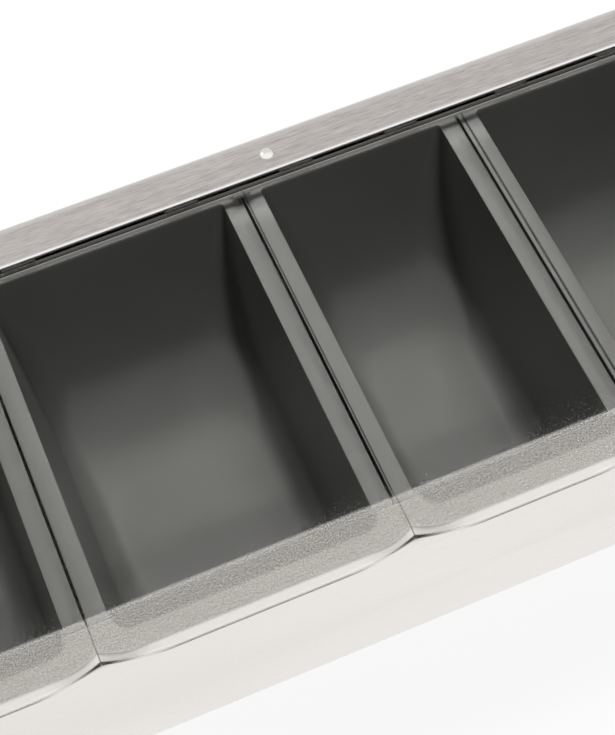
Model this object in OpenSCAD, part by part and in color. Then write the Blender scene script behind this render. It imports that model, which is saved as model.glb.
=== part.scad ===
// Condiment caddy: a folded steel tray holds five lift-out bins side by side, and each
// bin has its own clear flip lid on one long hinge rod along the back. The bins stand on
// the base of the tray, and the lids lie on the front flange.
// X runs along the row of bins, Y from front to back, Z up. The origin is the middle of
// the footprint, on the surface that the feet stand on.

/* [Casing] */
// Opening between the front and back flanges, front to back
opening_depth = 110; // [90:1:150]
// Width of the flat flange round the opening
flange_width = 13.6; // [12:0.2:20]
// Height of the steel casing, without its feet
casing_height = 52; // [42:1:80]
// Thickness of the steel sheet
sheet = 0.8; // [0.6:0.1:1]
// Inside radius of the folds
fold_radius = 1.2; // [0.8:0.1:2]
// Width of the hem folded back under the flange's inner edge
hem_width = 3; // [2:0.2:4]
// Rounding of the welded upright corners
corner_rounding = 1.4; // [0.5:0.1:1.6]
// Width of the dressed seam at the mitred corners
seam = 0.04; // [0.02:0.01:0.1]

/* [Bins] */
// Outer width of a wide bin's rim
wide_bin = 82.2; // [60:0.2:110]
// Outer width of a narrow bin's rim
narrow_bin = 66.5; // [50:0.2:90]
// Gap between neighbouring rims
bin_gap = 0.8; // [0.4:0.1:1.4]
// Clearance of a rim to the front and back hems
rim_clearance = 0.6; // [0.3:0.1:1]
// Width of the rim along a bin's sides
rim_side = 5.4; // [4:0.2:8]
// Width of the rim at a bin's front and back
rim_end = 1.4; // [1.4:0.1:3]
// Thickness of the rim
rim_thickness = 1.8; // [1.4:0.1:2.4]
// How far the rims lie below the flange
rim_drop = 3.8; // [3.6:0.1:6]
// Wall thickness of a bin
bin_wall = 1.3; // [1:0.1:1.3]
// Lean of the side walls, in degrees
side_draft = 7; // [2:0.5:9]
// Lean of the back wall, in degrees
back_draft = 12; // [4:0.5:15]
// Lean of the front wall, in degrees
front_draft = 8; // [4:0.5:12]
// Radius of the scoop between back wall and floor
scoop_radius = 38; // [20:1:44]
// Radius between front wall and floor
front_radius = 15; // [8:1:24]
// Radius between side walls and floor
floor_radius = 9; // [5:0.5:12]
// Radius of the upright corners at the rim
mouth_radius = 1.2; // [0.8:0.1:8]
// Radius of the upright corners at the floor
foot_radius = 13; // [8:0.5:16]

/* [Lids] */
// Thickness of a lid
lid_thickness = 2; // [1.6:0.1:3]
// Gap between neighbouring lids
lid_gap = 0.8; // [0.6:0.1:2.4]
// How far a lid's front lip stands out past the casing, for a fingertip
lip_overhang = 0.6; // [0:0.1:2]
// Width of the bevel along a lid's front edge
lip_bevel = 2.7; // [1:0.1:4]
// Thickness at the front edge
lip_edge = 0.8; // [0.5:0.1:1.2]
// Width of the bevel along a lid's back edge
back_bevel = 1.2; // [0.8:0.1:2]
// Length of the sweep at a lid's front corners, along the foot of the bevel
sweep_length = 18; // [12:1:24]
// Length of the sweep along the head of the bevel
crest_length = 10; // [6:1:16]
// Depth of both sweeps, front to back
sweep_depth = 3; // [1:0.5:5]
// Depth of the shallow recess in a lid's underside
recess_depth = 0.6; // [0.4:0.1:1]
// How far the recess reaches over the front flange
recess_reach = 5.4; // [3:0.2:8]
// Rounding of the recess's corners
recess_radius = 4.8; // [2:0.2:8]
// Distance of the recess from a lid's back edge
recess_back = 3.6; // [2.6:0.2:6]

/* [Hinge] */
// Diameter of the hinge rod
rod_diameter = 1.8; // [1.4:0.1:2.4]
// Running clearance of the rod in its bores, on the radius
rod_clearance = 0.05; // [0.02:0.01:0.1]
// Wall of a lid's hinge barrel round its bore
barrel_wall = 0.75; // [0.6:0.05:1]
// Length of a barrel
barrel_length = 10; // [6:1:14]
// Distance of a barrel from the side of its lid
barrel_inset = 12; // [10:1:16]
// Gap between a barrel and the hem behind it
barrel_gap = 0.3; // [0.2:0.05:0.6]
// Depth of the rod's axis below the flange
rod_depth = 1; // [0.8:0.1:1.6]
// Distance from the rod's axis to the back edge of a lid
knuckle_reach = 1.6; // [1.5:0.1:3]
// Depth of the arms that join a lid to its barrels, front to back
arm_depth = 1.4; // [1:0.1:3]
// Thickness of a hinge bracket
bracket_sheet = 0.8; // [0.6:0.1:1.2]
// Width of the hook in the middle bracket
hook_width = 5; // [4:0.5:10]
// Length of the caps on the rod's ends
cap_length = 2.4; // [1.6:0.1:3]
// Radius of the caps
cap_radius = 1.7; // [1.4:0.1:2]
// Thickness of a cap's end
cap_wall = 0.6; // [0.4:0.1:1]

/* [Rivets] */
// Diameter of a rivet's head
rivet_head = 4.1; // [3.4:0.1:5]
// Height of the domed head
rivet_dome = 1.1; // [0.8:0.1:1.6]
// Diameter of the shank
rivet_shank = 2.4; // [2:0.1:3]
// Clearance of the shank in its holes, on the radius
rivet_clearance = 0.03; // [0.01:0.01:0.1]
// Distance of a rivet behind the flange's inner edge
rivet_setback = 6.3; // [6:0.1:9]
// Distance of a rivet along the flange from its bracket's hook or ear
rivet_offset = 11.4; // [8:0.1:14]

/* [Feet] */
// Diameter of a foot
foot_diameter = 14; // [10:1:20]
// Height of a foot
foot_height = 2.5; // [1.5:0.1:6]
// Radius of the foot's stem in the base
foot_stem = 2.4; // [1.8:0.1:3]
// Clearance of the stem in its hole, on the radius
foot_clearance = 0.05; // [0.02:0.01:0.1]
// How far the stem's bulb stands out past the hole
foot_bulb = 0.8; // [0.4:0.1:1.2]
// Height of the bulb above the base
bulb_height = 1.3; // [1:0.1:1.5]
// Distance of a foot's centre from the casing's ends
foot_inset_x = 30; // [20:1:50]
// Distance of a foot's centre from the casing's front and back
foot_inset_y = 26; // [20:1:40]

/* [Hidden] */
$fn = 64;

steel = "#b9b4af";
bright_steel = "#d6d4d0";
black_steel = "#3a3a3a";
bin_grey = "#4b4a49";
lid_clear = "#dfe6e4";
rubber_black = "#2a2a2a";

bin_widths = [wide_bin, wide_bin, narrow_bin, narrow_bin, narrow_bin];
bin_count = len(bin_widths);
function total(list, n) = n == 0 ? 0 : list[n - 1] + total(list, n - 1);
opening_length = total(bin_widths, bin_count) + (bin_count + 1) * bin_gap;
function bin_x(i) = -opening_length / 2 + total(bin_widths, i) + (i + 1) * bin_gap + bin_widths[i] / 2;
function gap_x(i) = bin_x(i) + (bin_widths[i] + bin_gap) / 2;

corner_steps = 6;
scoop_steps = 14;
scoop_start = 76;
half_opening = opening_depth / 2;
half_depth = half_opening + flange_width;
half_mouth = opening_length / 2;
half_length = half_mouth + flange_width;
base_z = foot_height;
top_z = foot_height + casing_height;
base_mid = base_z + sheet / 2;
flange_mid = top_z - sheet / 2;
hem_mid = flange_mid - sheet;
fold = fold_radius + sheet / 2;
// Overlap of solids that are joined, air between parts that pass close by, room for bends, broken edges
hair = 0.01;
air = 0.1;
room = 0.4;
edge_break = 0.6;

rim_z = top_z - rim_drop;
bin_depth = casing_height - sheet - bin_wall - rim_drop;
rim_half = half_opening - rim_clearance;
mouth_half = rim_half - rim_end;
scoop = min(scoop_radius, bin_depth / (1 - sin(back_draft)));

rod_radius = rod_diameter / 2;
bore_radius = rod_radius + rod_clearance;
barrel_radius = bore_radius + barrel_wall;
axis_y = half_opening - barrel_gap - barrel_radius;
axis_z = top_z - rod_depth;
lid_back = axis_y - knuckle_reach;
lid_front = -half_depth - lip_overhang;
lid_rise = top_z - axis_z;
hem_back = half_opening + hem_width + room;
bracket_back = half_depth - sheet - fold_radius;
bracket_reach = rivet_offset + rivet_head;
cap_end = half_mouth - room;
ear_x = cap_end - cap_length - bracket_sheet / 2 - air;
ear_radius = barrel_radius + barrel_gap / 2;
hook_radius = bore_radius + bracket_sheet / 2;
plate_z = top_z - sheet - bracket_sheet;
centre_gap = gap_x(1);
rivet_y = half_opening + rivet_setback;
rivet_hole = rivet_shank / 2 + rivet_clearance;
rivet_xs = [-ear_x + rivet_offset, centre_gap + rivet_offset, ear_x - rivet_offset];

// Folded sheet drawn edge on, along the middle of its thickness
function unit(v) = v / norm(v);
function turn(p, i) = let (a = unit(p[i] - p[i - 1]), b = unit(p[i + 1] - p[i])) acos(a * b);
function trim_at(p, r, i) = i == 0 || i == len(p) - 1 ? 0 : r[i - 1] * tan(turn(p, i) / 2);

module strip(a, b, t) {
    n = [unit(b - a)[1], -unit(b - a)[0]] * t / 2;
    polygon([a + n, b + n, b - n, a - n]);
}

module folded_sheet(p, r, t) {
    for (i = [0:len(p) - 2]) {
        d = unit(p[i + 1] - p[i]);
        start = p[i] + d * trim_at(p, r, i);
        end = p[i + 1] - d * trim_at(p, r, i + 1);
        if (norm(end - start) > hair) strip(start, end, t);
    }
    for (i = [1:len(p) - 2]) {
        back = unit(p[i - 1] - p[i]);
        ahead = unit(p[i + 1] - p[i]);
        reach = trim_at(p, r, i);
        middle = p[i] + unit(back + ahead) * r[i - 1] / cos(turn(p, i) / 2);
        spread = 1 + 2 * t / r[i - 1];
        intersection() {
            translate(middle) difference() {
                circle(r[i - 1] + t / 2);
                if (r[i - 1] > t / 2 + hair) circle(r[i - 1] - t / 2);
            }
            polygon([middle, middle + (p[i] + back * reach - middle) * spread,
                middle + (p[i] - middle) * spread * 2,
                middle + (p[i] + ahead * reach - middle) * spread]);
        }
    }
}

// Draws a shape given in Y and Z, and carries it along X
module along_x(length) rotate([90, 0, 90]) linear_extrude(length, center = true) children();

// Draws a shape given in X and Z, and carries it along Y
module along_y(length) rotate([90, 0, 0]) linear_extrude(length, center = true) children();

module rounded_square(w, d, r) {
    square([w - 2 * r, d], center = true);
    square([w, d - 2 * r], center = true);
    for (x = [-1, 1], y = [-1, 1]) translate([x * (w / 2 - r), y * (d / 2 - r)]) circle(r);
}

module casing_outline() translate([0, 0, base_z - 1]) linear_extrude(casing_height + 2)
    rounded_square(2 * half_length, 2 * half_depth, corner_rounding);

// Front wall, base, back wall and the long flanges, folded from one sheet
module casing_shell() color(steel) difference() {
    intersection() {
        along_x(2 * half_length) folded_sheet([
            [-half_opening - hem_width, hem_mid], [-half_opening - sheet / 2, hem_mid],
            [-half_opening - sheet / 2, flange_mid], [-half_depth + sheet / 2, flange_mid],
            [-half_depth + sheet / 2, base_mid], [half_depth - sheet / 2, base_mid],
            [half_depth - sheet / 2, flange_mid], [half_opening + sheet / 2, flange_mid],
            [half_opening + sheet / 2, hem_mid], [half_opening + hem_width, hem_mid]],
            [sheet / 2, sheet / 2, fold, fold, fold, fold, sheet / 2, sheet / 2], sheet);
        translate([0, 0, base_z - 1]) linear_extrude(casing_height + 2) polygon([
            [-half_length, -half_depth], [half_length, -half_depth],
            [half_mouth, -half_opening], [half_mouth, half_opening],
            [half_length, half_depth], [-half_length, half_depth],
            [-half_mouth, half_opening], [-half_mouth, -half_opening]]);
        casing_outline();
    }
    rivet_holes();
    for (x = [-1, 1], y = [-1, 1])
        translate([x * (half_length - foot_inset_x), y * (half_depth - foot_inset_y), base_z - 1])
            cylinder(h = sheet + 2, r = foot_stem + foot_clearance);
}

// End wall with its flange and bottom return, mitred to the shell
module end_plate(side) color(steel) mirror([side < 0 ? 1 : 0, 0, 0]) intersection() {
    along_y(2 * half_depth) folded_sheet([
        [half_mouth + hem_width, hem_mid], [half_mouth + sheet / 2, hem_mid],
        [half_mouth + sheet / 2, flange_mid], [half_length - sheet / 2, flange_mid],
        [half_length - sheet / 2, base_mid], [half_mouth, base_mid]],
        [sheet / 2, sheet / 2, fold, fold], sheet);
    translate([0, 0, base_z - 1]) linear_extrude(casing_height + 2) polygon([
        [half_length, -half_depth + seam], [half_length, half_depth - seam],
        [half_mouth, half_opening - seam], [half_mouth, -half_opening + seam]]);
    casing_outline();
}

// Inner or outer face of one bin wall: straight with its lean, then round into the floor.
// It gives the distance from the bin's middle at a depth, pushed out by a wall thickness.
function wall_at(depth, out, mouth, lean, radius) =
    let (centre_depth = bin_depth - radius,
        centre = mouth - (centre_depth + radius * sin(lean)) * tan(lean) - radius * cos(lean))
    depth < centre_depth + (radius + out) * sin(lean)
        ? mouth + out / cos(lean) - depth * tan(lean)
        : centre + sqrt(max(0, pow(radius + out, 2) - pow(depth - centre_depth, 2)));

// Rounded outline of a bin at one depth
function bin_ring(width, depth, out) =
    let (x = wall_at(depth, out, width / 2 - rim_side, side_draft, floor_radius),
        back = wall_at(depth, out, mouth_half, back_draft, scoop),
        front = wall_at(depth, out, mouth_half, front_draft, front_radius),
        part = max(0, min(1, depth / bin_depth)),
        r = min(mouth_radius + (foot_radius - mouth_radius) * part + out, x * 0.9),
        centres = [[x - r, back - r], [r - x, back - r], [r - x, r - front], [x - r, r - front]])
    [for (q = [0:3], s = [0:corner_steps]) let (a = 90 * (q + s / corner_steps))
        [centres[q][0] + r * cos(a), centres[q][1] + r * sin(a), rim_z - depth]];

// Depths of the outlines, closer together towards the floor
function ring_depths(out, top) = concat([top],
    [for (k = [0:scoop_steps]) let (a = scoop_start * (1 - k / scoop_steps))
        bin_depth - scoop + (scoop + out) * cos(a)]);

// Closed solid through a stack of outlines that have the same number of points
module stacked(rings) {
    n = len(rings[0]);
    last = len(rings) - 1;
    polyhedron(points = [for (ring = rings) each ring], faces = concat(
        [[for (j = [0:n - 1]) n - 1 - j]], [[for (j = [0:n - 1]) last * n + j]],
        [for (i = [0:last - 1], j = [0:n - 1]) let (k = (j + 1) % n) each
            [[i * n + j, i * n + k, (i + 1) * n + k], [i * n + j, (i + 1) * n + k, (i + 1) * n + j]]]));
}

// Moulded bin: a flat rim, leaning walls and a deep scoop between back wall and floor
module bin(i) color(bin_grey) translate([bin_x(i), 0, 0]) difference() {
    union() {
        translate([0, 0, rim_z - rim_thickness]) linear_extrude(rim_thickness)
            rounded_square(bin_widths[i], 2 * rim_half, rim_end);
        stacked([for (d = ring_depths(bin_wall, rim_thickness / 2))
            bin_ring(bin_widths[i], d, bin_wall)]);
    }
    stacked([for (d = ring_depths(0, -1)) bin_ring(bin_widths[i], d, 0)]);
}

function lid_width(i) = bin_widths[i] + bin_gap - lid_gap;

// Outline of a lid from above, with swept front corners
module lid_outline(w, front, back, length) {
    radius = (pow(length, 2) + pow(sweep_depth, 2)) / (2 * sweep_depth);
    translate([-w / 2, front + sweep_depth]) square([w, back - front - sweep_depth]);
    intersection() {
        translate([-w / 2, front]) square([w, sweep_depth + 1]);
        union() {
            translate([length - w / 2, front]) square([w - 2 * length, sweep_depth + 1]);
            for (s = [-1, 1]) translate([s * (w / 2 - length), front + radius])
                circle(radius, $fn = 128);
        }
    }
}

// Clear lid: a plate with bevelled front and back edges and a recess over the mouth of its bin,
// and two hinge barrels on short arms
module lid(i) color(lid_clear) translate([bin_x(i), 0, 0]) {
    w = lid_width(i);
    arm_y = -knuckle_reach - arm_depth;
    recess_front = -half_opening - recess_reach;
    recess_length = lid_back - recess_back - recess_front;
    translate([0, 0, top_z]) difference() {
        hull() {
            linear_extrude(lip_edge) lid_outline(w, lid_front, lid_back, sweep_length);
            translate([0, 0, lid_thickness - hair]) linear_extrude(hair)
                lid_outline(w, lid_front + lip_bevel, lid_back - back_bevel, crest_length);
        }
        translate([0, recess_front + recess_length / 2, -1]) linear_extrude(1 + recess_depth)
            rounded_square(bin_widths[i] - 2 * rim_side, recess_length, recess_radius);
    }
    for (s = [-1, 1]) translate([s * (w / 2 - barrel_inset - barrel_length / 2), 0, 0])
        along_x(barrel_length) translate([axis_y, axis_z]) difference() {
            union() {
                circle(barrel_radius);
                polygon([barrel_radius * [-cos(30), sin(30)], [-knuckle_reach, lid_rise],
                    [-knuckle_reach, lid_rise + lip_edge / 2], [arm_y, lid_rise + lip_edge / 2],
                    [arm_y, lid_rise], [arm_y + arm_depth * 0.8, -rod_radius / 4],
                    barrel_radius * [-cos(60), -sin(60)]]);
            }
            circle(bore_radius);
        }
}

module hinge_rod() color(black_steel) translate([0, axis_y, axis_z]) rotate([0, 90, 0])
    cylinder(h = 2 * (cap_end - cap_wall), r = rod_radius, center = true);

// Push-on cap that keeps the rod in its brackets
module rod_cap(side) color(black_steel) mirror([side < 0 ? 1 : 0, 0, 0])
    translate([cap_end, axis_y, axis_z]) rotate([0, -90, 0]) difference() {
        union() {
            cylinder(h = cap_wall, r1 = cap_radius - cap_wall / 2, r2 = cap_radius);
            translate([0, 0, cap_wall]) cylinder(h = cap_length - cap_wall, r = cap_radius);
        }
        translate([0, 0, cap_wall]) cylinder(h = cap_length, r = rod_radius);
    }

module rivet_holes() for (x = rivet_xs)
    translate([x, rivet_y, plate_z - 1]) cylinder(h = sheet + bracket_sheet + 2, r = rivet_hole);

// Plate riveted under the back flange, with a bored ear that reaches under the hem to the rod
module ear_bracket(side) color(steel) difference() {
    mirror([side < 0 ? 1 : 0, 0, 0]) {
        translate([ear_x - bracket_reach, hem_back, plate_z])
            cube([bracket_reach + bracket_sheet / 2, bracket_back - hem_back, bracket_sheet]);
        translate([ear_x, 0, 0]) along_x(bracket_sheet) difference() {
            union() {
                translate([axis_y, axis_z]) circle(ear_radius);
                polygon([[axis_y, axis_z - ear_radius], [bracket_back, axis_z - ear_radius],
                    [bracket_back, plate_z + bracket_sheet], [hem_back, plate_z + bracket_sheet],
                    [hem_back, top_z - 2 * sheet - air], [axis_y, top_z - 2 * sheet - air]]);
            }
            translate([axis_y, axis_z]) circle(bore_radius);
        }
    }
    rivet_holes();
}

// Middle bracket: its hook runs under the hem and cradles the rod from below and in front
module hinge_bracket_centre() color(steel) difference() {
    plate_mid = plate_z + bracket_sheet / 2;
    hook_z = axis_z - hook_radius;
    hook_back = hem_back + bracket_sheet / 2;
    bend = bracket_sheet * 0.6;
    union() {
        translate([centre_gap, 0, 0]) along_x(hook_width) folded_sheet([
            [bracket_back, plate_mid], [hook_back + plate_mid - hook_z, plate_mid],
            [hook_back, hook_z], [axis_y - hook_radius, hook_z],
            [axis_y - hook_radius, axis_z]], [bend, bend, hook_radius], bracket_sheet);
        translate([centre_gap + hook_width / 2 - hair, hem_back, plate_z])
            cube([bracket_reach - hook_width / 2, bracket_back - hem_back, bracket_sheet]);
    }
    rivet_holes();
}

module bracket_rivets() color(bright_steel) for (x = rivet_xs) translate([x, rivet_y, 0]) {
    head = rivet_head / 2;
    dome = (pow(head, 2) + pow(rivet_dome, 2)) / (2 * rivet_dome);
    tail_z = plate_z - rivet_dome + edge_break / 2;
    intersection() {
        translate([0, 0, top_z + rivet_dome - dome]) sphere(dome);
        translate([0, 0, top_z]) cylinder(h = 2 * rivet_dome, r = head);
    }
    translate([0, 0, tail_z]) cylinder(h = top_z - tail_z + hair, r = rivet_shank / 2);
    translate([0, 0, tail_z])
        cylinder(h = plate_z - tail_z, r1 = head - edge_break, r2 = head - edge_break / 3);
}

// Rubber foot: a disc below, and a stem with a bulb that snaps through the base
module foot(x, y) color(rubber_black)
    translate([x * (half_length - foot_inset_x), y * (half_depth - foot_inset_y), 0])
    rotate_extrude() polygon([
        [0, 0], [foot_diameter / 2 - edge_break, 0], [foot_diameter / 2, edge_break],
        [foot_diameter / 2 - room, foot_height], [foot_stem, foot_height], [foot_stem, foot_height + sheet],
        [foot_stem + foot_bulb, foot_height + sheet],
        [foot_stem - room, foot_height + sheet + bulb_height], [0, foot_height + sheet + bulb_height]]);

casing_shell();
end_plate(-1);  // end_plate_left
end_plate(1);  // end_plate_right
hinge_rod();
rod_cap(-1);  // rod_cap_left
rod_cap(1);  // rod_cap_right
ear_bracket(-1);  // hinge_bracket_left
hinge_bracket_centre();
ear_bracket(1);  // hinge_bracket_right
bracket_rivets();
bin(0);  // bin_1
bin(1);  // bin_2
bin(2);  // bin_3
bin(3);  // bin_4
bin(4);  // bin_5
lid(0);  // lid_1
lid(1);  // lid_2
lid(2);  // lid_3
lid(3);  // lid_4
lid(4);  // lid_5
foot(-1, -1);  // foot_front_left
foot(1, -1);  // foot_front_right
foot(-1, 1);  // foot_back_left
foot(1, 1);  // foot_back_right
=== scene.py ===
# Condiment caddy: a folded steel tray, five moulded bins and five clear flip lids.
# Measures in the dictionaries are millimetres and degrees; meshes are written in metres.
import math

import bpy
import numpy as np
from mathutils import Matrix, Vector


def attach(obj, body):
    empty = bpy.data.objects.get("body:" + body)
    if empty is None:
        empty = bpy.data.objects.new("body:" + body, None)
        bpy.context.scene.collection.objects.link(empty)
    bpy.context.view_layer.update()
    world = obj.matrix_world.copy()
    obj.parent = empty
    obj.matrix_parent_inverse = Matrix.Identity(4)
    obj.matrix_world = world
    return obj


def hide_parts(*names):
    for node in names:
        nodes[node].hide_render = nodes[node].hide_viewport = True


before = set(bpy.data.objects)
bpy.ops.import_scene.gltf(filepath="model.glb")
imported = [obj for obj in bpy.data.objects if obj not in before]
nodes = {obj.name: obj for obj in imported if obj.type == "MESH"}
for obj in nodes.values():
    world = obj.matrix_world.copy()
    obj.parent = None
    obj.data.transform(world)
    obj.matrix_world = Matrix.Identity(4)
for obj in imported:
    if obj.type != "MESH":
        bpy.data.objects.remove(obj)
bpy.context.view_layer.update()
print("frame loaded:", len(nodes), "nodes")

camera = {
    "place": (-97.92, -241.34, 456.66),
    "right": (0.9218, -0.3843, -0.0506),
    "up": (0.3536, 0.7804, 0.5157),
    "focal": 87.23,  # on a 36 mm long side, from the vanishing points
    "sensor": 36,
    "clip": (0.01, 20),  # metres
}


def makeCamera():
    data = bpy.data.cameras.new("camera")
    data.lens, data.sensor_width = camera["focal"], camera["sensor"]
    data.sensor_fit = "AUTO"
    data.clip_start, data.clip_end = camera["clip"]
    eye = bpy.data.objects.new("camera", data)
    right = Vector(camera["right"]).normalized()
    back = right.cross(Vector(camera["up"])).normalized()
    up = back.cross(right)
    turn = Matrix((right, up, back)).transposed()
    eye.matrix_world = Matrix.Translation(Vector(camera["place"]) / 1000) @ turn.to_4x4()
    bpy.context.collection.objects.link(eye)
    bpy.context.scene.camera = eye


makeCamera()
bpy.context.scene.view_settings.view_transform = "Standard"
bpy.context.scene.cycles.transparent_max_bounces = 32  # five clear lids can stand in a row


def colour(code):
    # sRGB hex to linear
    parts = [int(code[k:k + 2], 16) / 255 for k in (1, 3, 5)]
    linear = [c / 12.92 if c < 0.04045 else ((c + 0.055) / 1.055) ** 2.4 for c in parts]
    return (*linear, 1)


def metres(values):
    return [value / 1000 for value in values]


noiseSpan = (0.3, 0.7)  # a noise's values lie mostly between these


def addNode(tree, kind, settings={}, links={}):
    # settings: a socket's name or number, or else a property of the node
    node = tree.nodes.new(kind)
    for key, value in settings.items():
        if isinstance(key, str) and key not in node.inputs:
            setattr(node, key, value)
    for key, value in settings.items():
        if isinstance(key, int) or key in node.inputs:
            node.inputs[key].default_value = value
    for key, source in links.items():
        tree.links.new(source, node.inputs[key])
    return node


def newMaterial(name):
    material = bpy.data.materials.new(name)
    material.use_nodes = True
    material.node_tree.nodes.clear()
    return material, material.node_tree


sheetFinish = {
    "tone": ("#e7e2de", "#eeeae6"),  # dark and light lines
    "flangeShade": ("#b6afa9", "#e8e2dd"),  # the same on the flanges' tops, toned darker as painted shade for the duller light they mirror
    "hemHighlight": "#fbf9f7",  # painted highlight: the hem's rounded edge tinted near white for the light it catches
    "lines": ((4.5, 0.22), (24, 0.9)),  # mm, length and width of a fine and of a broad line
    "share": (0.65, 0.35),  # of the fine and the broad lines
    "contrast": (0.32, 0.66),  # noise values of a dark and a light line
    "flange": (53.4, 54.3),  # mm, heights between which the painted shade sets in
    "edge": (55.0, 184.35),  # mm from the middle, inner edge of the long and the end flanges
    "hem": (0.5, 1.1),  # mm from that edge, where the painted highlight fades
    "fold": (10.5, 12.5),  # mm from that edge, where the painted shade ends at the outer folds
    "roughness": (0.24, 0.36),
    "anisotropy": 0.4,
    "bump": (0.1, 0.05),  # strength, and height in mm
}


def brushedSteel(name, grain):
    # Stainless sheet, brushed lengthwise: short fine lines that spread the light across the grain.
    # They are drawn coarser than a real brushing, so that they show in the render.
    # grain is the direction of the brushing, 0 for X and 1 for Y.
    material, tree = newMaterial(name)
    place = addNode(tree, "ShaderNodeTexCoord").outputs["Object"]
    layers = []
    for length, width in sheetFinish["lines"]:
        scale = [1000 / width] * 3
        scale[grain] = 1000 / length
        mapped = addNode(tree, "ShaderNodeMapping", {"Scale": scale}, {"Vector": place})
        layers.append(addNode(tree, "ShaderNodeTexNoise", {"Scale": 1, "Detail": 3, "Roughness": 0.6},
                              {"Vector": mapped.outputs[0]}).outputs[0])
    fineShare, broadShare = sheetFinish["share"]
    broad = addNode(tree, "ShaderNodeMath", {"operation": "MULTIPLY", 1: broadShare}, {0: layers[1]})
    lines = addNode(tree, "ShaderNodeMath", {"operation": "MULTIPLY_ADD", 1: fineShare},
                    {0: layers[0], 2: broad.outputs[0]}).outputs[0]

    # where on the sheet: upper is 1 on the flanges, away counts from their inner edge outwards
    split = addNode(tree, "ShaderNodeSeparateXYZ", links={0: place})
    low, high = metres(sheetFinish["flange"])
    upper = addNode(tree, "ShaderNodeMapRange", {"From Min": low, "From Max": high},
                    {"Value": split.outputs[2]}).outputs[0]
    away = addNode(tree, "ShaderNodeMath", {"operation": "ABSOLUTE"}, {0: split.outputs[1 - grain]})
    away = addNode(tree, "ShaderNodeMath",
                   {"operation": "SUBTRACT", 1: sheetFinish["edge"][grain] / 1000},
                   {0: away.outputs[0]}).outputs[0]
    near = addNode(tree, "ShaderNodeMath", {"operation": "ABSOLUTE"}, {0: away}).outputs[0]
    masks = []
    for key, source in (("fold", away), ("hem", near)):
        low, high = metres(sheetFinish[key])
        mask = addNode(tree, "ShaderNodeMapRange",
                       {"From Min": low, "From Max": high, "To Min": 1, "To Max": 0},
                       {"Value": source})
        masks.append(addNode(tree, "ShaderNodeMath", {"operation": "MULTIPLY"},
                             {0: mask.outputs[0], 1: upper}).outputs[0])
    flangeShade, hem = masks

    tints = []
    for key in ("tone", "flangeShade"):
        tint = addNode(tree, "ShaderNodeValToRGB", links={0: lines})
        for element, position, code in zip(tint.color_ramp.elements, sheetFinish["contrast"],
                                           sheetFinish[key]):
            element.position, element.color = position, colour(code)
        tints.append(tint.outputs[0])
    # painted shade: the flanges' tops take the darker tint
    tint = addNode(tree, "ShaderNodeMix", {"data_type": "RGBA"}, {0: flangeShade, 6: tints[0], 7: tints[1]})
    # painted highlight: the hem's edge tinted near white
    tint = addNode(tree, "ShaderNodeMix", {"data_type": "RGBA", 7: colour(sheetFinish["hemHighlight"])},
                   {0: hem, 6: tint.outputs[2]})
    smoothest, roughest = sheetFinish["roughness"]
    rough = addNode(tree, "ShaderNodeMapRange",
                    {"From Min": noiseSpan[0], "From Max": noiseSpan[1],
                     "To Min": smoothest, "To Max": roughest}, {"Value": lines})
    strength, height = sheetFinish["bump"]
    bump = addNode(tree, "ShaderNodeBump", {"Strength": strength, "Distance": height / 1000},
                   {"Height": lines})
    tangent = addNode(tree, "ShaderNodeTangent",
                      {"direction_type": "RADIAL", "axis": "X" if grain else "Y"})
    shader = addNode(tree, "ShaderNodeBsdfPrincipled",
                     {"Metallic": 1.0, "Anisotropic": sheetFinish["anisotropy"]},
                     {"Base Color": tint.outputs[2], "Roughness": rough.outputs[0],
                      "Normal": bump.outputs[0], "Tangent": tangent.outputs[0]})
    addNode(tree, "ShaderNodeOutputMaterial", links={0: shader.outputs[0]})
    return material


# The grain of these is in mm along X and across it, drawn as coarse as it needs to show.
rivetFinish = {  # turned stainless, polished: hard reflections with a trace of fine scratches
    "name": "polishedStainless", "metallic": 1.0, "tone": "#f4f2ee", "roughness": (0.14, 0.24),
    "grain": (0.7143, 0.7143), "detail": 4, "harsh": 0.5,
}
bracketFinish = {  # stainless strip with its mill finish: dull, mottled grey, never polished
    "name": "millStainless", "metallic": 1.0, "tone": ("#5d5a57", "#7b7774"),
    "roughness": (0.45, 0.6), "grain": (2.5, 2.5), "detail": 5, "harsh": 0.65,
}
rodFinish = {  # drawn steel wire, blackened: near black, with one thin line of light along it
    "name": "blackenedSteel", "metallic": 0.3, "tone": ("#1c1b1b", "#333130"),
    "roughness": (0.22, 0.34), "grain": (16.667, 0.3333), "detail": 3, "harsh": 0.5,
}
footFinish = {  # moulded nitrile rubber: matt black with a faint bloom
    "name": "mouldedRubber", "metallic": 0.0, "tone": ("#191919", "#2b2a29"), "roughness": 0.75,
    "grain": (1.4286, 1.4286), "detail": 4, "harsh": 0.5,
}


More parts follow.
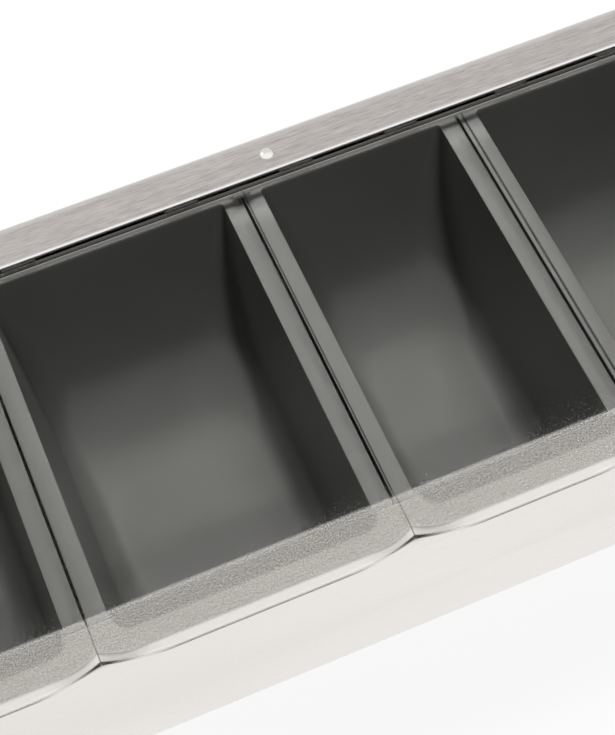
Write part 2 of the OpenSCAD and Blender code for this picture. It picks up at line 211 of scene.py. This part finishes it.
def mottled(finish):
    # One noise drives tone and roughness where these are pairs. A single tone or roughness is set
    # on the shader itself.
    material, tree = newMaterial(finish["name"])
    place = addNode(tree, "ShaderNodeTexCoord").outputs["Object"]
    along, across = finish["grain"]
    mapped = addNode(tree, "ShaderNodeMapping", {"Scale": (1000 / along, 1000 / across, 1000 / across)},
                     {"Vector": place})
    noise = addNode(tree, "ShaderNodeTexNoise",
                    {"Scale": 1, "Detail": finish["detail"], "Roughness": finish["harsh"]},
                    {"Vector": mapped.outputs[0]}).outputs[0]
    settings, links = {"Metallic": finish["metallic"]}, {}
    if isinstance(finish["tone"], str):
        settings["Base Color"] = colour(finish["tone"])
    else:
        tint = addNode(tree, "ShaderNodeValToRGB", links={0: noise})
        for element, code in zip(tint.color_ramp.elements, finish["tone"]):
            element.color = colour(code)
        links["Base Color"] = tint.outputs[0]
    if isinstance(finish["roughness"], float):
        settings["Roughness"] = finish["roughness"]
    else:
        smoothest, roughest = finish["roughness"]
        rough = addNode(tree, "ShaderNodeMapRange",
                        {"From Min": noiseSpan[0], "From Max": noiseSpan[1],
                         "To Min": smoothest, "To Max": roughest}, {"Value": noise})
        links["Roughness"] = rough.outputs[0]
    shader = addNode(tree, "ShaderNodeBsdfPrincipled", settings, links)
    addNode(tree, "ShaderNodeOutputMaterial", links={0: shader.outputs[0]})
    return material


binFinish = {
    "tone": ("#4a4a49", "#4f4f4e"),
    "cloud": 22.22,  # mm, size of the patches of the two tones
    # painted light: the rim tops are toned paler for the fuller light they catch
    "rimPaintedLight": "#5f5f5e",
    "rim": (50.45, 50.62),  # mm, heights between which the painted light sets in
    "pit": 0.3846,  # mm, size of the mould's eroded pits, coarse enough to show
    "roughness": (0.28, 0.35),
    "bump": (0.04, 0.02),  # strength, and height in mm
    "ior": 1.58,
}


def mouldedPlastic():
    # Polycarbonate bins, satin from an eroded mould: dark grey with a soft, broad sheen, and painted
    # light that tones the rim tops paler for the fuller light they catch
    material, tree = newMaterial("satinPolycarbonate")
    place = addNode(tree, "ShaderNodeTexCoord").outputs["Object"]
    fine, broad = [addNode(tree, "ShaderNodeTexNoise", {"Scale": 1000 / size, "Detail": 3},
                           {"Vector": place}).outputs[0]
                   for size in (binFinish["pit"], binFinish["cloud"])]
    tint = addNode(tree, "ShaderNodeValToRGB", links={0: broad})
    for element, position, code in zip(tint.color_ramp.elements, noiseSpan, binFinish["tone"]):
        element.position, element.color = position, colour(code)
    split = addNode(tree, "ShaderNodeSeparateXYZ", links={0: place})
    low, high = metres(binFinish["rim"])
    rimPaintedLight = addNode(tree, "ShaderNodeMapRange", {"From Min": low, "From Max": high},
                      {"Value": split.outputs[2]})
    # painted light: the rim tops take the paler tint
    tint = addNode(tree, "ShaderNodeMix", {"data_type": "RGBA", 7: colour(binFinish["rimPaintedLight"])},
                   {0: rimPaintedLight.outputs[0], 6: tint.outputs[0]})
    smoothest, roughest = binFinish["roughness"]
    rough = addNode(tree, "ShaderNodeMapRange",
                    {"From Min": noiseSpan[0], "From Max": noiseSpan[1],
                     "To Min": smoothest, "To Max": roughest}, {"Value": fine})
    strength, height = binFinish["bump"]
    bump = addNode(tree, "ShaderNodeBump", {"Strength": strength, "Distance": height / 1000},
                   {"Height": fine})
    shader = addNode(tree, "ShaderNodeBsdfPrincipled", {"IOR": binFinish["ior"]},
                     {"Base Color": tint.outputs[2], "Roughness": rough.outputs[0],
                      "Normal": bump.outputs[0]})
    addNode(tree, "ShaderNodeOutputMaterial", links={0: shader.outputs[0]})
    return material


lidFinish = {
    "body": "#f9f9f8",  # what clear plastic lets through, each time a ray crosses a face
    "recess": "#b7b4b0",  # painted shade: the same, darker, where the recess lies over the flange
    "side": "#c3c7c5",  # the same in the side and back edges, where the way through is long
    # the frost, and the painted highlight over the flange's edge
    "frostAndGlint": "#93918c",
    "edge": "#c2c0bc",  # the bevels, tinted pale as a painted reflection of the white they mirror
    "line": "#86837f",  # the shade along the foot of the front edge
    "frostCover": 0.36,  # how much of the clear plastic each of them hides
    "bevelReflectionCover": 0.66,
    "lineCover": 0.5,
    "speckCover": 0.35,
    "glossIor": 1.45,
    "gloss": 0.03,  # what is taken off the mirroring, so that it shows only at a slant
    "glossRoughness": 0.05,
    "grain": 0.36,  # mm, size of the frosted grain, coarser than the real one so that it shows
    "grainSpan": (0.36, 0.64, 0.3, 1.7),  # noise values, and what they multiply the frost by
    "speck": 0.34,  # mm, size of the stray specks behind the lip, coarse enough to show
    "speckLimit": (0.68, 0.56),  # noise above which a speck stands, far from the lip and at it
    "speckEdge": 6.0,  # how fast a speck rises above that limit
    "roughness": (0.5, 0.12),  # of the frost and of the bevels
    "ior": 1.57,
}


def clearPlastic():
    # Clear SAN lids, polished mould with a lip sandblasted in it: see-through and glossy, with a pale
    # grainy lip, stray specks behind it, and bevels painted pale as reflection. The mesh carries where
    # each of them is.
    finish = lidFinish
    material, tree = newMaterial("clearStyrene")
    place = addNode(tree, "ShaderNodeTexCoord").outputs["Object"]
    frostAndGlint, recess, bevel, near, line, face, side = [
        addNode(tree, "ShaderNodeAttribute", {"attribute_name": name}).outputs["Fac"]
        for name in ("frostAndGlint", "recess", "bevel", "near", "line", "face", "side")]

    # the clear part, let through darker as painted shade where the recess lies over the flange
    through = addNode(tree, "ShaderNodeMix",
                      {"data_type": "RGBA", 6: colour(finish["body"]), 7: colour(finish["recess"])},
                      {0: recess})
    through = addNode(tree, "ShaderNodeMix", {"data_type": "RGBA", 7: colour(finish["side"])},
                      {0: side, 6: through.outputs[2]})
    clear = addNode(tree, "ShaderNodeBsdfTransparent", links={0: through.outputs[2]})
    mirror = addNode(tree, "ShaderNodeBsdfGlossy", {"Roughness": finish["glossRoughness"]})
    slant = addNode(tree, "ShaderNodeFresnel", {"IOR": finish["glossIor"]})
    slant = addNode(tree, "ShaderNodeMath",
                    {"operation": "SUBTRACT", 1: finish["gloss"], "use_clamp": True},
                    {0: slant.outputs[0]})
    slant = addNode(tree, "ShaderNodeMath", {"operation": "MULTIPLY"}, {0: slant.outputs[0], 1: face})
    glass = addNode(tree, "ShaderNodeMixShader",
                    links={0: slant.outputs[0], 1: clear.outputs[0], 2: mirror.outputs[0]})

    # what covers it: frost with its grain and a painted highlight over the flange's edge, specks that
    # thin out backwards, bevels painted pale as reflection, and the foot line's painted shadow
    grain = addNode(tree, "ShaderNodeTexNoise",
                    {"Scale": 1000 / finish["grain"], "Detail": 2, "Roughness": 0.7}, {"Vector": place})
    speck = addNode(tree, "ShaderNodeTexNoise", {"Scale": 1000 / finish["speck"], "Detail": 1},
                    {"Vector": place})
    low, high, least, most = finish["grainSpan"]
    grainy = addNode(tree, "ShaderNodeMapRange",
                     {"From Min": low, "From Max": high, "To Min": least, "To Max": most},
                     {"Value": grain.outputs[0]})
    veil = addNode(tree, "ShaderNodeMath", {"operation": "MULTIPLY", 1: finish["frostCover"]},
                   {0: frostAndGlint})
    veil = addNode(tree, "ShaderNodeMath", {"operation": "MULTIPLY"},
                   {0: veil.outputs[0], 1: grainy.outputs[0]})
    far, close = finish["speckLimit"]
    limit = addNode(tree, "ShaderNodeMapRange", {"To Min": far, "To Max": close}, {"Value": near})
    spots = addNode(tree, "ShaderNodeMath", {"operation": "SUBTRACT"},
                    {0: speck.outputs[0], 1: limit.outputs[0]})
    spots = addNode(tree, "ShaderNodeMath",
                    {"operation": "MULTIPLY", 1: finish["speckEdge"], "use_clamp": True},
                    {0: spots.outputs[0]})
    spots = addNode(tree, "ShaderNodeMath", {"operation": "MULTIPLY"}, {0: spots.outputs[0], 1: near})
    spots = addNode(tree, "ShaderNodeMath", {"operation": "MULTIPLY", 1: finish["speckCover"]},
                    {0: spots.outputs[0]})
    # painted reflection: the pale cover on the bevels
    edge = addNode(tree, "ShaderNodeMath", {"operation": "MULTIPLY", 1: finish["bevelReflectionCover"]},
                   {0: bevel})
    # painted shadow: the foot line's dark cover
    foot = addNode(tree, "ShaderNodeMath", {"operation": "MULTIPLY", 1: finish["lineCover"]},
                   {0: line})
    cover = veil
    for layer in (spots, edge, foot):
        cover = addNode(tree, "ShaderNodeMath", {"operation": "MAXIMUM"},
                        {0: cover.outputs[0], 1: layer.outputs[0]})
    pale = addNode(tree, "ShaderNodeMix",
                   {"data_type": "RGBA", 6: colour(finish["frostAndGlint"]), 7: colour(finish["edge"])},
                   {0: bevel})
    pale = addNode(tree, "ShaderNodeMix", {"data_type": "RGBA", 7: colour(finish["line"])},
                   {0: line, 6: pale.outputs[2]})
    frosted, polished = finish["roughness"]
    rough = addNode(tree, "ShaderNodeMapRange", {"To Min": frosted, "To Max": polished},
                    {"Value": bevel})
    shell = addNode(tree, "ShaderNodeBsdfPrincipled", {"IOR": finish["ior"]},
                    {"Base Color": pale.outputs[2], "Roughness": rough.outputs[0]})
    surface = addNode(tree, "ShaderNodeMixShader",
                      links={0: cover.outputs[0], 1: glass.outputs[0], 2: shell.outputs[0]})
    addNode(tree, "ShaderNodeOutputMaterial", links={0: surface.outputs[0]})
    return material


sheetSteel, endSteel = brushedSteel("brushedStainless", 0), brushedSteel("brushedStainlessEnds", 1)
blackened = mottled(rodFinish)
finishes = {
    "end_plate": endSteel, "bracket_rivets": mottled(rivetFinish),
    "hinge_bracket": mottled(bracketFinish), "hinge_rod": blackened, "rod_cap": blackened,
    "foot": mottled(footFinish),
}
binPlastic, lidPlastic = mouldedPlastic(), clearPlastic()
for name, node in nodes.items():
    finish = next((finishes[start] for start in finishes if name.startswith(start)), sheetSteel)
    for slot in node.material_slots:
        slot.material = finish
print("materials made")

creaseAngle = 32  # from which an edge of a new piece stays sharp


def gridFaces(rows, columns, closed):
    # quads between neighbouring rows; closed joins the last column to the first
    last = columns if closed else columns - 1
    i, j = np.meshgrid(np.arange(rows - 1), np.arange(last), indexing="ij")
    k = (j + 1) % columns
    quads = [i * columns + j, i * columns + k, (i + 1) * columns + k, (i + 1) * columns + j]
    return np.stack(quads, -1).reshape(-1, 4)


def joined(parts):
    # parts: (points, list of face lists, marks by name); one mesh from all
    points, faces, marks, start = [], [], {}, 0
    for places, sides, named in parts:
        points.append(places)
        faces += [[start + k for k in side] for side in sides]
        for key in named:
            marks.setdefault(key, []).append(np.broadcast_to(named[key], len(places)))
        start += len(places)
    return np.concatenate(points), faces, {key: np.concatenate(marks[key]) for key in marks}


def makePiece(name, parts, material, body, replaced):
    # one mesh from its parts, with their marks as attributes; it rides on body
    points, faces, marks = joined(parts)
    mesh = bpy.data.meshes.new(name)
    mesh.from_pydata((points / 1000).tolist(), [], faces)
    for key, values in marks.items():
        layer = mesh.attributes.new(key, "FLOAT", "POINT")
        layer.data.foreach_set("value", values.astype(np.float32))
    mesh.polygons.foreach_set("use_smooth", np.ones(len(mesh.polygons), bool))
    mesh.set_sharp_from_angle(angle=math.radians(creaseAngle))
    mesh.materials.append(material)
    mesh.update()
    piece = bpy.data.objects.new(name, mesh)
    bpy.context.collection.objects.link(piece)
    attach(piece, body)
    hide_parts(*replaced)


binForm = {
    "x": (-142.45, -59.45, 15.7, 83.0, 150.3),  # middle of each bin
    "width": (82.2, 82.2, 66.5, 66.5, 66.5),
    "rimTop": 50.7, "rimThickness": 1.8,
    "rimHalf": 54.4, "mouthHalf": 53.0,  # from the middle to the front and back edges
    "rimSide": 5.4,  # width of the rim at the sides
    "rimCorner": 1.4, "edge": 0.15,  # radius of the rim's corners, and rounding of its edges
    "depth": 46.1, "wall": 1.3,
    "sideDraft": 7, "backDraft": 12, "frontDraft": 8,  # lean of the walls
    "floorRadius": 9, "scoop": 38, "frontRadius": 15,  # into the floor, at the sides, back and front
    "mouthRadius": 1.2, "footRadius": 13,  # of the upright corners, at the top and the bottom
    "cornerShare": 0.9,  # how much of a side its two corners may take up
    "rings": 44, "firstAngle": 80, "firstDepth": 3,  # rings down the scoop, and where they start
    "cornerSteps": 10, "edgeSteps": 4,
}


def wallAt(depth, out, mouth, lean, radius):
    # distance from the middle: a straight leaning wall, then a circle into the floor
    lean = math.radians(lean)
    centreDepth = binForm["depth"] - radius
    drawn = (centreDepth + radius * math.sin(lean)) * math.tan(lean)
    centre = mouth - drawn - radius * math.cos(lean)
    straight = mouth + out / math.cos(lean) - depth * math.tan(lean)
    curved = centre + np.sqrt(np.clip((radius + out) ** 2 - (depth - centreDepth) ** 2, 0, None))
    return np.where(depth < centreDepth + (radius + out) * math.sin(lean), straight, curved)


def outline(half, back, front, radius, height):
    # rings of a rounded rectangle, one for each entry of the arrays, corner by corner
    steps = binForm["cornerSteps"]
    quarter = np.radians(np.linspace(0, 90, steps + 1))
    half, back, front, radius, height = [
        np.atleast_1d(v)[:, None] for v in np.broadcast_arrays(half, back, front, radius, height)]
    corners = ((0, half - radius, back - radius), (90, radius - half, back - radius),
               (180, radius - half, radius - front), (270, half - radius, radius - front))
    level = np.broadcast_to(height, (len(height), steps + 1))
    rings = []
    for turn, x, y in corners:
        angle = quarter + math.radians(turn)
        rings.append(np.stack([x + radius * np.cos(angle), y + radius * np.sin(angle), level], -1))
    return np.concatenate(rings, 1)


def binRings(width, out):
    # rings of a face from the rim down to the floor; out is its distance from the inner face
    form = binForm
    angle = np.radians(np.linspace(form["firstAngle"], 0, form["rings"]))
    depth = form["depth"] - form["scoop"] + (form["scoop"] + out) * np.cos(angle)
    first = form["edge"] if out == 0 else form["rimThickness"]
    depth = np.concatenate([[first], depth[depth > form["firstDepth"]]])
    half = wallAt(depth, out, width / 2 - form["rimSide"], form["sideDraft"], form["floorRadius"])
    back = wallAt(depth, out, form["mouthHalf"], form["backDraft"], form["scoop"])
    front = wallAt(depth, out, form["mouthHalf"], form["frontDraft"], form["frontRadius"])
    part = np.clip(depth / form["depth"], 0, 1)
    radius = form["mouthRadius"] + (form["footRadius"] - form["mouthRadius"]) * part + out
    radius = np.minimum(radius, half * form["cornerShare"])
    return outline(half, back, front, radius, form["rimTop"] - depth)


def makeBin(number):
    # one loft: up the outer face, over the rim, down the inner face, and a fan on each floor
    width, form = binForm["width"][number], binForm
    edge, top, half, opening = form["edge"], form["rimTop"], form["rimHalf"], form["mouthHalf"]
    outer, inner = binRings(width, form["wall"]), binRings(width, 0)
    bend = np.radians(np.linspace(90, 0, form["edgeSteps"]))  # the rim's edges, rounded over
    lip, level = edge * (1 - np.sin(bend)), top - edge * (1 - np.cos(bend))
    rim = outline(width / 2 - lip, half - lip, half - lip, form["rimCorner"] - lip, level)
    mouth = outline(width / 2 - form["rimSide"] + lip, opening + lip, opening + lip,
                    form["mouthRadius"] + lip, level)
    under = outline(width / 2, half, half, form["rimCorner"], top - form["rimThickness"])
    rings = np.concatenate([outer[::-1], under, rim, mouth[::-1], inner])
    count, around = rings.shape[:2]
    middle = [[0, ring[:, 1].mean(), ring[0, 2]] for ring in (rings[0], rings[-1])]
    points = np.concatenate([rings.reshape(-1, 3), middle]) + [form["x"][number], 0, 0]
    ahead, last = (np.arange(around) + 1) % around, (count - 1) * around
    faces = gridFaces(count, around, True).tolist()
    faces += [[count * around, k, j] for j, k in enumerate(ahead.tolist())]
    faces += [[count * around + 1, last + j, last + k] for j, k in enumerate(ahead.tolist())]
    makePiece("mouldedBin%d" % (number + 1), [(points, faces, {})], binPlastic, "caddy",
              ["bin_%d" % (number + 1)])


for number in range(5):
    makeBin(number)
print("bins made")


lidForm = {
    "bottom": 54.5, "thickness": 2.0, "lift": 0.03,  # the plate stands a hair above the flange
    "front": -69.2, "back": 51.4,
    "bevel": 2.7, "lipEdge": 0.8, "backBevel": 1.2,  # front bevel, thickness at its foot, back bevel
    "crestSoft": 0.25, "edge": 0.25,  # rounding of the bevels' crests, and of the plate's edges
    "sweep": 18, "crestSweep": 10, "sweepDepth": 3,  # length and depth of the swept front corners
    "recess": 0.6, "recessFront": -60.4, "recessBack": 47.8, "recessRadius": 4.8, "recessSlope": 0.9,
    "spread": 0.34,  # what each side takes of the gap between lids
    "sideInsets": (0, 0.04, 0.13, 0.25, 0.6, 1.2, 2), "columns": 96,  # the grid, across
    "bevelRows": (0, 0.03, 0.08, 0.2, 0.4, 0.6, 0.8, 0.9, 1),
    "backRows": (0.25, 0.5, 0.75, 0.9, 0.96, 1),
    "denseTo": -38, "rows": (60, 40),  # rows in front of this place and behind it
    "axis": (53.0, 53.5), "bore": 0.95, "barrel": 1.7, "barrelLength": 10, "barrelInset": 12,
    "barrelEdge": 0.2, "barrelSteps": 48,
    "arm": ((-1.47, 0.85), (-1.6, 1.4), (-3.0, 1.4), (-3.0, 1.0), (-1.88, -0.22), (-0.85, -1.47)),
    "armInset": 0.15,  # the arm is this much shorter than its barrel at each end
}

lidMarks = {
    "flangeEdge": -55.0, "frostBack": 0.9, "frostFade": 0.5,  # the frost ends just past this edge
    "blend": (1.2, 1.6, 9),  # width between frost and bevel, more at the sides, and over how far
    "frostShift": 0.6,  # how far the frost reaches into the bevel, as a share of that width
    "glint": (0.25, 0.1, 0.3),  # painted highlight over the flange's edge: strength, place, width
    "foot": (0.35, 11, 9, 0.4),  # foot line of painted shadow: width, start and run from the side, share on top
    "backGlint": (0.32, 0.2, 0.3),  # painted highlight on the back bevel: strength, start before it, run
    "specks": 13.0,  # how far behind the flange's edge the specks reach
    "sides": (1, 2),  # where behind that edge the dark sides start, and their run
    "recessFade": 0.3,  # run of the painted shade under the recess to nothing at the flange's edge
    "upright": 0.01,  # nearer to the border than this, a point is on an upright side
    "barrelFace": 0.12,  # how much the barrels mirror
}


def smooth(value):
    # 0 to 1 with a soft start and end
    value = np.clip(value, 0, 1)
    return value * value * (3 - 2 * value)


def sweepBack(x, half, length):
    # how far a swept corner has drawn back at x: an arc that starts flat, length before the side
    radius = (length ** 2 + lidForm["sweepDepth"] ** 2) / (2 * lidForm["sweepDepth"])
    past = np.clip(np.abs(x) - (half - length), 0, None)
    return radius - np.sqrt(radius ** 2 - past ** 2)


def lidGrid(half):
    # columns across the lid, each with rows from the swept front edge over the bevel to the back
    form = lidForm
    side = np.array(form["sideInsets"])
    inner = np.linspace(side[-1], 2 * half - side[-1], form["columns"])[1:-1]
    x = np.concatenate([side, inner, (2 * half - side)[::-1]])[:, None] - half
    low = form["front"] + sweepBack(x, half, form["sweep"])
    crest = form["front"] + form["bevel"] + sweepBack(x, half, form["crestSweep"])
    middle, backCrest = form["denseTo"], form["back"] - form["backBevel"]
    front, behind = [np.linspace(0, 1, count)[1:] for count in form["rows"]]
    full = np.ones((len(x), 1))
    y = np.concatenate([low + (crest - low) * np.array(form["bevelRows"]),
                        crest + (middle - crest) * front,
                        middle + (backCrest - middle) * behind * full,
                        backCrest + form["backBevel"] * np.array(form["backRows"]) * full], 1)
    return np.broadcast_to(x, y.shape), y, low, crest


def lidTop(x, y, low, crest, half):
    # height of the top face: two bevels with soft crests, and rounded edges
    form = lidForm
    full, soft = form["thickness"], form["crestSoft"]
    share = np.minimum((y - low) / (crest - low), (form["back"] - y) / form["backBevel"])
    ramp = form["lipEdge"] + (full - form["lipEdge"]) * share
    # a soft minimum of ramp and thickness, with its loss at the crest made up for
    top = full - soft * np.log1p(np.exp((full - ramp) / soft))
    top = np.minimum(top + soft * np.log(2) * np.exp(-np.abs(ramp - full) / soft), full)
    inside = np.minimum(half - np.abs(x), np.minimum(y - low, form["back"] - y))
    over = form["edge"] - np.clip(inside, 0, form["edge"])
    return top - (form["edge"] - np.sqrt(form["edge"] ** 2 - over ** 2))


def lidPit(x, y, mouthHalf):
    # 1 in the recess of the underside: a rounded rectangle over the bin's mouth, with soft sides
    form = lidForm
    centre = (form["recessFront"] + form["recessBack"]) / 2
    reach = (form["recessBack"] - form["recessFront"]) / 2
    dx = np.abs(x) - (mouthHalf - form["recessRadius"])
    dy = np.abs(y - centre) - (reach - form["recessRadius"])
    away = np.hypot(np.clip(dx, 0, None), np.clip(dy, 0, None)) + np.minimum(np.maximum(dx, dy), 0)
    return smooth((form["recessRadius"] - away) / form["recessSlope"])


def markPlate(x, y, low, crest, half, pit):
    # where the finishes of the plastic and its painted light and shade are, for the points of the top
    # face and of the underside
    form, marks = lidForm, lidMarks
    aside = half - np.abs(x)  # distance from the nearer side
    # the upright sides stay bare, so that the gap between two lids doesn't darken
    inward = aside > marks["upright"]
    past = y - marks["flangeEdge"]
    least, more, run = marks["blend"]
    blend = least + more * smooth(1 - aside / run)
    frostAndGlint = smooth((y - crest) / blend + marks["frostShift"])
    frostAndGlint = frostAndGlint * smooth((marks["frostBack"] - past) / marks["frostFade"])
    # painted highlight: a pale band just behind the flange's edge, added to the frost
    strength, shift, width = marks["glint"]
    frostAndGlint = frostAndGlint + strength * np.exp(-((past - shift) / width) ** 2)
    # painted shadow: the foot line along the front edge
    footWidth, start, run, footTop = marks["foot"]
    straight = smooth((aside - start) / run)
    border = y < low + footWidth
    foot = border * straight
    # painted reflection: how far the bevels' pale cover reaches
    bevel = smooth((crest + 0.5 * blend - y) / blend) * (1 - border * (1 - straight))
    # painted highlight: a pale band on the back bevel
    strength, before, run = marks["backGlint"]
    bevel = bevel + strength * smooth((y - form["back"] + form["backBevel"] + before) / run)
    near = np.clip(1 - past / marks["specks"], 0, 1) * (past > 0)
    start, run = marks["sides"]
    sides = np.maximum(~inward * smooth((past - start) / run), y > form["back"] - marks["upright"])
    # painted shade: the recess darkens what shows through it over the flange
    under = pit * smooth(-past / marks["recessFade"])
    none = np.zeros(y.shape)
    pairs = {"frostAndGlint": (frostAndGlint * inward, none), "bevel": (bevel, bevel * foot),
             "line": (footTop * foot, foot), "face": (inward * 1.0, none), "near": (near, none),
             "side": (sides, sides), "recess": (none, under)}
    return {key: np.concatenate([top.ravel(), bottom.ravel()]) for key, (top, bottom) in pairs.items()}


def lidPlate(half, mouthHalf):
    # plate between a top and a bottom height over the same grid, closed by a wall round its border
    x, y, low, crest = lidGrid(half)
    pit = lidPit(x, y, mouthHalf)
    heights = (lidTop(x, y, low, crest, half), lidForm["recess"] * pit + lidForm["lift"])
    points = [np.stack([x, y, lidForm["bottom"] + height], -1).reshape(-1, 3) for height in heights]
    rows, columns = y.shape
    faces = gridFaces(rows, columns, False)[:, ::-1]
    under = faces[:, ::-1] + rows * columns
    around = np.concatenate([np.arange(columns), np.arange(1, rows) * columns + columns - 1,
                             (rows - 1) * columns + np.arange(columns - 2, -1, -1),
                             np.arange(rows - 2, 0, -1) * columns])
    ahead = np.roll(around, -1)
    wall = np.stack([around, ahead, ahead + rows * columns, around + rows * columns], -1)
    return (np.concatenate(points), np.concatenate([faces, under, wall]).tolist(),
            markPlate(x, y, low, crest, half, pit))


def barrelParts(middle):
    # a tube round the rod, and the arm that joins it to the plate
    form, steps = lidForm, lidForm["barrelSteps"]
    half, soft, radius, bore = (form["barrelLength"] / 2, form["barrelEdge"], form["barrel"],
                                form["bore"])
    profile = np.array([(-half + soft, radius), (half - soft, radius), (half, radius - soft),
                        (half, bore), (-half, bore), (-half, radius - soft)])
    around = np.radians(np.linspace(0, 360, steps + 1)[:-1])
    tube = np.stack([np.broadcast_to(middle + profile[:, :1], (len(profile), steps)),
                     form["axis"][0] + profile[:, 1:] * np.cos(around),
                     form["axis"][1] + profile[:, 1:] * np.sin(around)], -1)
    tube = np.concatenate([tube, tube[:1]])
    section = np.array(form["arm"]) + form["axis"]
    count = len(section)
    ends = middle + np.array([form["armInset"] - half, half - form["armInset"]])
    arm = np.array([[(end, y, z) for y, z in section] for end in ends])
    armFaces = gridFaces(2, count, True).tolist()
    armFaces += [list(range(count))[::-1], list(range(count, 2 * count))]
    marks = {key: 0.0 for key in ("frostAndGlint", "bevel", "near", "recess", "line", "side")}
    marks["face"] = lidMarks["barrelFace"]
    tubeFaces = gridFaces(len(tube), steps, True)[:, ::-1].tolist()
    return [(tube.reshape(-1, 3), tubeFaces, marks), (arm.reshape(-1, 3), armFaces, marks)]


def makeLid(number):
    half = binForm["width"][number] / 2
    parts = [lidPlate(half + lidForm["spread"], half - binForm["rimSide"])]
    for turn in (-1, 1):
        parts += barrelParts(turn * (half - lidForm["barrelInset"] - lidForm["barrelLength"] / 2))
    move = [binForm["x"][number], 0, 0]
    parts = [(points + move, faces, marks) for points, faces, marks in parts]
    name = "lid_%d" % (number + 1)
    makePiece("flipLid%d" % (number + 1), parts, lidPlastic, name, [name])


for number in range(5):
    makeLid(number)
print("lids made")


studio = {
    "sky": (0.75, 1.0),  # what metal and plastic mirror of the room, at the back and in front
    "skySpan": (0.35, -0.2),  # directions along Y between which it changes
    "fill": 0.09,  # what the room adds to the light on matt surfaces
    "floor": "#b4b3b1", "floorHalf": 6,  # metres
    "glow": (0.9, 1.0),  # how far the floor is evened out to white, where it is seen and mirrored
    "aim": (0, 0, 0.05),
    "lamps": (  # name, place and size in metres, power in watts, seen in mirrors
        ("backLamp", (0.35, 1.25, 1.35), 1.3, 148, False),
        ("frontLamp", (0.3, -1.2, 1.6), 0.1, 21, False),
        ("sideLamp", (-1.3, 0.9, 1.0), 0.9, 2.4, True),
    ),
}


def makeRoom():
    # white where the camera looks past the floor, a soft gradient in mirrors, faint as a light
    world = bpy.data.worlds.new("room")
    bpy.context.scene.world = world
    world.use_nodes = True
    tree = world.node_tree
    tree.nodes.clear()
    path = addNode(tree, "ShaderNodeLightPath")
    place = addNode(tree, "ShaderNodeTexCoord")
    split = addNode(tree, "ShaderNodeSeparateXYZ", links={0: place.outputs["Generated"]})
    (start, end), (back, front) = studio["skySpan"], studio["sky"]
    level = addNode(tree, "ShaderNodeMapRange",
                    {"From Min": start, "From Max": end, "To Min": back, "To Max": front},
                    {"Value": split.outputs[1]})
    fill = addNode(tree, "ShaderNodeBackground", {"Color": (1, 1, 1, 1), "Strength": studio["fill"]})
    sky = addNode(tree, "ShaderNodeBackground", {"Color": (1, 1, 1, 1)},
                  {"Strength": level.outputs[0]})
    white = addNode(tree, "ShaderNodeBackground", {"Color": (1, 1, 1, 1), "Strength": 1.0})
    mixed = addNode(tree, "ShaderNodeMixShader",
                    links={0: path.outputs["Is Glossy Ray"], 1: fill.outputs[0], 2: sky.outputs[0]})
    mixed = addNode(tree, "ShaderNodeMixShader",
                    links={0: path.outputs["Is Camera Ray"], 1: mixed.outputs[0], 2: white.outputs[0]})
    addNode(tree, "ShaderNodeOutputWorld", links={0: mixed.outputs[0]})


def makeFloor():
    # pale paper that keeps the object's shadow
    far = studio["floorHalf"]
    mesh = bpy.data.meshes.new("floor")
    mesh.from_pydata([(-far, -far, 0), (far, -far, 0), (far, far, 0), (-far, far, 0)], [],
                     [(0, 1, 2, 3)])
    floor = bpy.data.objects.new("floor", mesh)
    bpy.context.collection.objects.link(floor)
    material, tree = newMaterial("paperSweep")
    path = addNode(tree, "ShaderNodeLightPath")
    seenGlow, mirroredGlow = studio["glow"]
    seen = addNode(tree, "ShaderNodeMath", {"operation": "MULTIPLY", 1: seenGlow},
                   {0: path.outputs["Is Camera Ray"]})
    share = addNode(tree, "ShaderNodeMath", {"operation": "MULTIPLY_ADD", 1: mirroredGlow},
                    {0: path.outputs["Is Glossy Ray"], 2: seen.outputs[0]})
    paper = addNode(tree, "ShaderNodeBsdfDiffuse", {"Color": colour(studio["floor"])})
    white = addNode(tree, "ShaderNodeEmission", {"Color": (1, 1, 1, 1), "Strength": 1.0})
    mixed = addNode(tree, "ShaderNodeMixShader",
                    links={0: share.outputs[0], 1: paper.outputs[0], 2: white.outputs[0]})
    addNode(tree, "ShaderNodeOutputMaterial", links={0: mixed.outputs[0]})
    mesh.materials.append(material)


def makeLamps():
    for name, place, size, power, mirrored in studio["lamps"]:
        data = bpy.data.lights.new(name, "AREA")
        data.shape, data.size, data.energy = "SQUARE", size, power
        lamp = bpy.data.objects.new(name, data)
        lamp.location = place
        lamp.rotation_mode = "QUATERNION"
        lamp.rotation_quaternion = (Vector(place) - Vector(studio["aim"])).to_track_quat("Z", "Y")
        lamp.visible_glossy = mirrored
        bpy.context.collection.objects.link(lamp)


makeRoom()
makeFloor()
makeLamps()
print("studio made")
